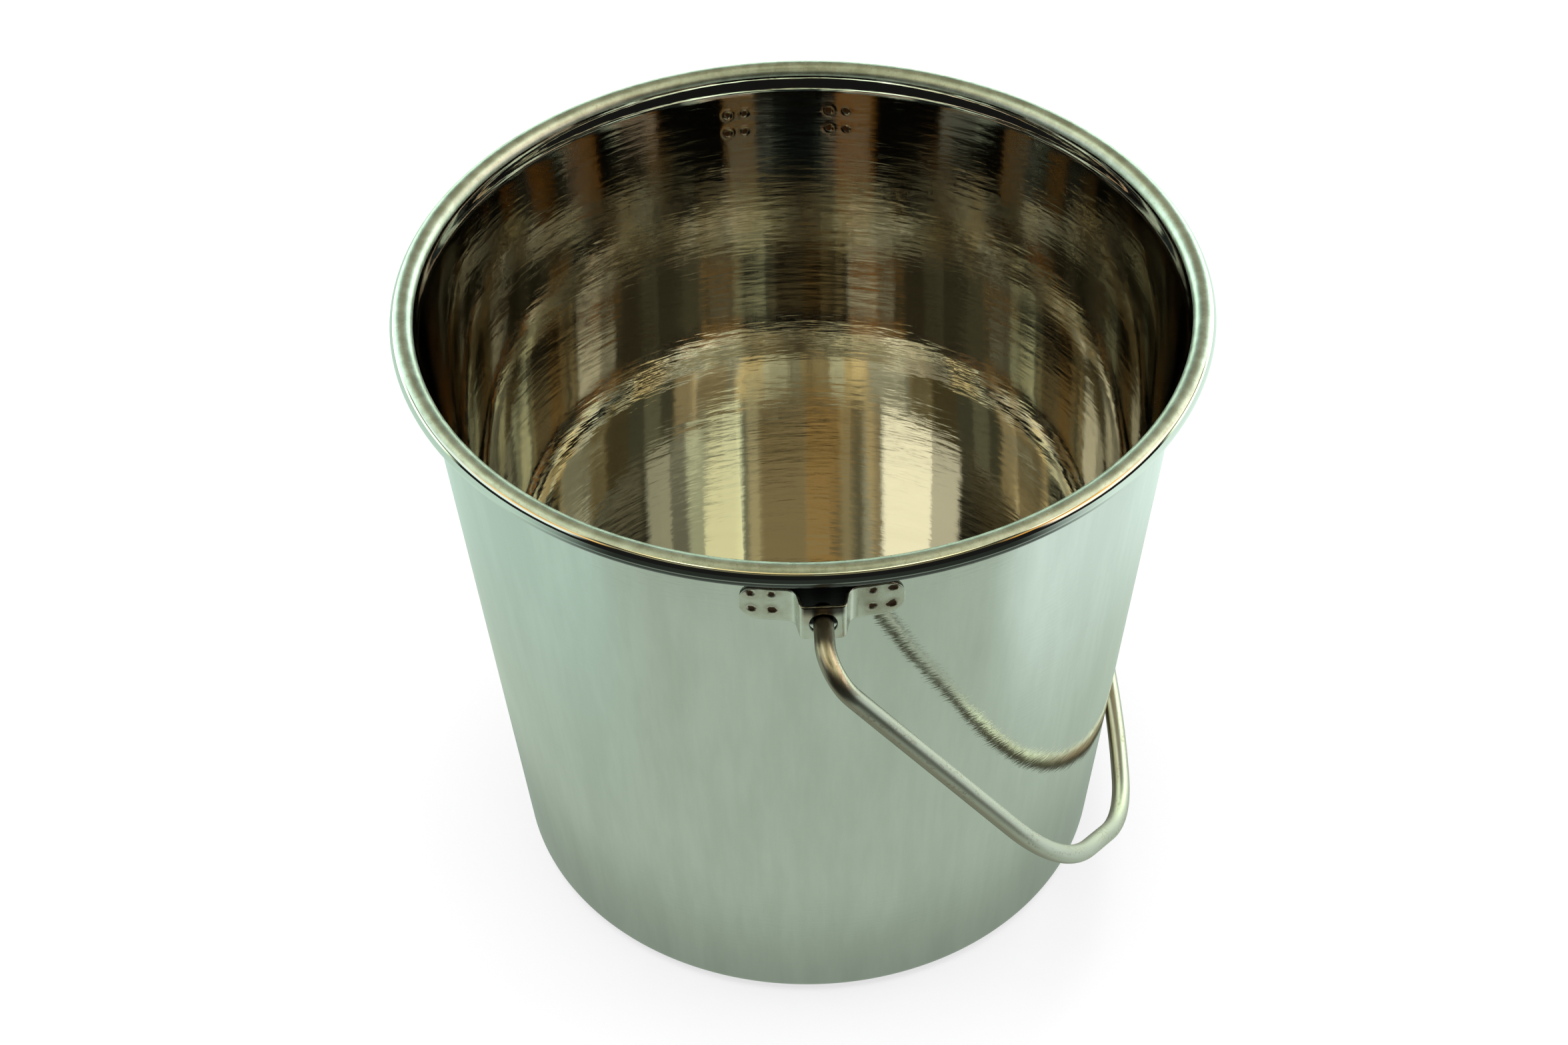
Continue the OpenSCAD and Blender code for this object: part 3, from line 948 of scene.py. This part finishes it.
def sky_total(n):
    """Colour of the room as the metal sees it."""
    az, el, _ = polar(n)
    parts = []
    for _, mid, half, soft, lo, hi, soft_el, colour in CARDS:
        parts.append((n.times(sector(n, az, mid, half, soft), band(n, el, lo, hi, soft_el)), colour))
    total = add_up(n, parts, ROOM_DARK)
    # Things standing about in the room break the higher boxes up into patches, some of them warm
    cells = n.new("ShaderNodeTexVoronoi", distance="CHEBYCHEV")
    cells.inputs["Scale"].default_value = 1.0
    cells.inputs["Randomness"].default_value = 0.9
    n.put(cells.inputs["Vector"], n.join(n.times(az, 0.036), n.times(el, 0.14), 0.0))
    patch = n.xyz(cells.outputs["Color"])
    white = rgb(1.0, 1.0, 1.0)
    tint = n.mix(n.range(patch[1], 0.55, 0.75), white, rgb(1.1, 0.9, 0.66))
    level = n.range(patch[0], 0.15, 0.85, 0.6, 1.3)
    high = n.range(el, 33, 36)
    total = n.vec("SCALE", total, n.mixf(high, 1.0, level))
    return n.vec("MULTIPLY", total, n.mix(high, white, tint))


def floor_total(n):
    """Colour of the floor as the metal sees it: dim at the pail's foot, and shaded in front."""
    az, _, r = polar(n)
    far = n.range(r, 150, 300)
    parts = []
    for mid, colour in ((75, (0.36, 0.44, 0.46)), (-75, (0.10, 0.18, 0.18))):
        side = n.range(sector(n, az, mid, 52, 16), 0.0, 1.0)
        parts.append((n.times(side, far), colour))
    total = add_up(n, parts, (0.52, 0.63, 0.52))
    foot = n.range(r, 112, 165, 1.0, 0.0)
    total = n.vec("SCALE", total, n.mixf(foot, 1.0, 0.62))
    shade = n.times(sector(n, az, 180, 62, 16), n.range(r, 300, 430, 0.0, 0.95))
    return n.vec("SCALE", total, n.math("SUBTRACT", 1.0, shade))


def dome(name, mat, radius, around=96, rings=36):
    """From straight overhead down to 20 degrees below the horizon."""
    verts, faces = [(0, 0, radius)], []
    for j in range(1, rings + 1):
        e = math.radians(90 - 110 * j / rings)
        flat = radius * math.cos(e)
        for i in range(around):
            a = 2 * math.pi * i / around
            verts.append((flat * math.sin(a), flat * math.cos(a), radius * math.sin(e)))
    for i in range(around):
        faces.append((0, 1 + i, 1 + (i + 1) % around))
    for j in range(rings - 1):
        a, b = 1 + j * around, 1 + (j + 1) * around
        for i in range(around):
            k = (i + 1) % around
            faces.append((a + i, b + i, b + k, a + k))
    return mesh_object(name, verts, faces, [mat])


def disc(name, radius, z, mat, n=96):
    verts = [(0, 0, z)]
    for i in range(n):
        a = 2 * math.pi * i / n
        verts.append((radius * math.cos(a), radius * math.sin(a), z))
    faces = [(0, i + 1, (i + 1) % n + 1) for i in range(n)]
    return mesh_object(name, verts, faces, [mat])


def tube(name, radius, lo, hi, mat, n=48):
    """An upright wall all round."""
    verts, faces = [], []
    for i in range(n):
        a = 2 * math.pi * i / n
        verts += [(radius * math.cos(a), radius * math.sin(a), z) for z in (lo, hi)]
        b, c = 2 * i, 2 * ((i + 1) % n)
        faces.append((b, c, c + 1, b + 1))
    return mesh_object(name, verts, faces, [mat])


def floor_level(n):
    """Brighter far away, where the lamps don't reach, so that the floor runs into the backdrop."""
    _, _, r = polar(n)
    return n.range(r, 500, 3000, 0.74, 1.0)


floor = disc("floor", 9000, -0.4, plain("white_floor", 0.30, floor_level))
visible(floor, camera=True, diffuse=True, shadow=True)
visible(disc("floor_in_metal", 5500, -0.6, glow("floor_glow", floor_total)), glossy=True)
visible(dome("sky_in_metal", glow("sky_glow", sky_total), 6000.0), glossy=True)
visible(tube("backdrop", 8800, -0.3, 9000, plain("white_backdrop", 0.0, 1.02)), camera=True)


def area(name, loc, target, size, power):
    """A soft lamp that lights the floor and the satin metal but shows in no reflection."""
    d = bpy.data.lights.new(name, "AREA")
    d.shape = "SQUARE"
    d.size = size
    d.energy = power
    o = bpy.data.objects.new(name, d)
    bpy.context.scene.collection.objects.link(o)
    o.location = loc
    o.rotation_euler = (Vector(target) - Vector(loc)).to_track_quat("-Z", "Y").to_euler()
    o.visible_glossy = False
    o.visible_camera = False


area("overhead", (0, 0.1, 2.4), (0, 0, 0), 2.6, 95)
area("right_soft", (1.7, 0.3, 1.2), (0, 0, 0.1), 1.2, 14)
area("left_soft", (-1.7, 0.3, 1.2), (0, 0, 0.1), 1.2, 10)

world = bpy.data.worlds.new("studio")
bpy.context.scene.world = world
world.use_nodes = True
world_nodes = Nodes(world.node_tree)
background = world_nodes.new("ShaderNodeBackground")
background.inputs["Color"].default_value = rgb(*ROOM_DARK)
background.inputs["Strength"].default_value = 1.0
world_nodes.put(world_nodes.new("ShaderNodeOutputWorld").inputs["Surface"], background.outputs[0])


# ---------------------------------------------------------------------------------------------
# Camera and picture
# ---------------------------------------------------------------------------------------------
def make_camera():
    """Camera at the photographer's place, in front of the pail and looking down into it."""
    # Angles in radians: to the side, down, and about the line of sight
    yaw, pitch, roll = -0.0095, 0.7455, -0.0191
    # The camera goes round the pail by this much, so that the front ear is where it should be
    turn = math.radians(-2.2)
    fwd = Vector((math.sin(yaw) * math.cos(pitch), math.cos(yaw) * math.cos(pitch), -math.sin(pitch)))
    right = Vector((math.cos(yaw), -math.sin(yaw), 0))
    up = right.cross(fwd)
    x = math.cos(roll) * right + math.sin(roll) * up
    y = -math.sin(roll) * right + math.cos(roll) * up
    m = Matrix((x, y, -fwd)).transposed().to_4x4()
    m.translation = Vector((0, -0.865725, 0.94270))
    data = bpy.data.cameras.new("camera")
    cam = bpy.data.objects.new("camera", data)
    bpy.context.scene.collection.objects.link(cam)
    cam.matrix_world = Matrix.Rotation(turn, 4, "Z") @ m
    data.sensor_width = 36
    data.lens = 69.5
    data.clip_start = 0.01
    data.clip_end = 100
    bpy.context.scene.camera = cam


make_camera()
scene = bpy.context.scene
scene.view_settings.view_transform = "Standard"
scene.view_settings.look = "None"
scene.cycles.max_bounces = 18
scene.cycles.glossy_bounces = 14
scene.cycles.diffuse_bounces = 3
scene.cycles.caustics_reflective = False
